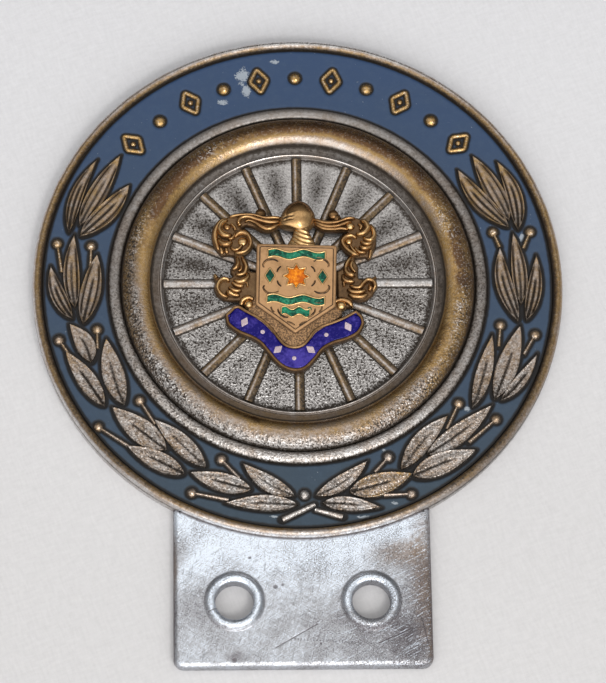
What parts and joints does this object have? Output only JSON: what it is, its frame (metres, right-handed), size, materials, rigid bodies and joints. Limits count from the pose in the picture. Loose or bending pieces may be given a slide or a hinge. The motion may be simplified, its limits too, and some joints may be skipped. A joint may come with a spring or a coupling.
{
  "type": "license plate topper",
  "caption": "Round enamelled car badge with a wreath border, a wheel and a gilt crest, on a flat lug with bolt holes for a plate bracket.",
  "frame": {"origin": "on the flat back of the lug, midway between its two bolt holes", "axes": "+Y towards the top of the badge, +Z out of its face, +X to the right as seen from the front; the badge lies on its back"},
  "size_m": [0.0952, 0.1182, 0.006],
  "materials": {
    "body_chrome": "worn chromium plate over brass, pitted and dulled",
    "ring_enamel": "satin fired enamel with small chips",
    "crest_gilt": "worn gilt over struck brass",
    "ribbon_enamel": "glossy translucent enamel",
    "green_enamel": "glossy translucent enamel",
    "orange_enamel": "glossy translucent enamel",
    "pin_brass": "peened brass"
  },
  "bodies": {
    "root": {"badge_body": "body_chrome", "ring_enamel": "ring_enamel", "crest": "crest_gilt", "ribbon_enamel": "ribbon_enamel", "upper_bar_enamel": "green_enamel", "middle_bar_enamel": "green_enamel", "lower_bar_enamel": "green_enamel", "left_diamond_enamel": "green_enamel", "right_diamond_enamel": "green_enamel", "sun_enamel": "orange_enamel", "upper_crest_pin": "pin_brass", "lower_crest_pin": "pin_brass"}
  },
  "joints": []
}
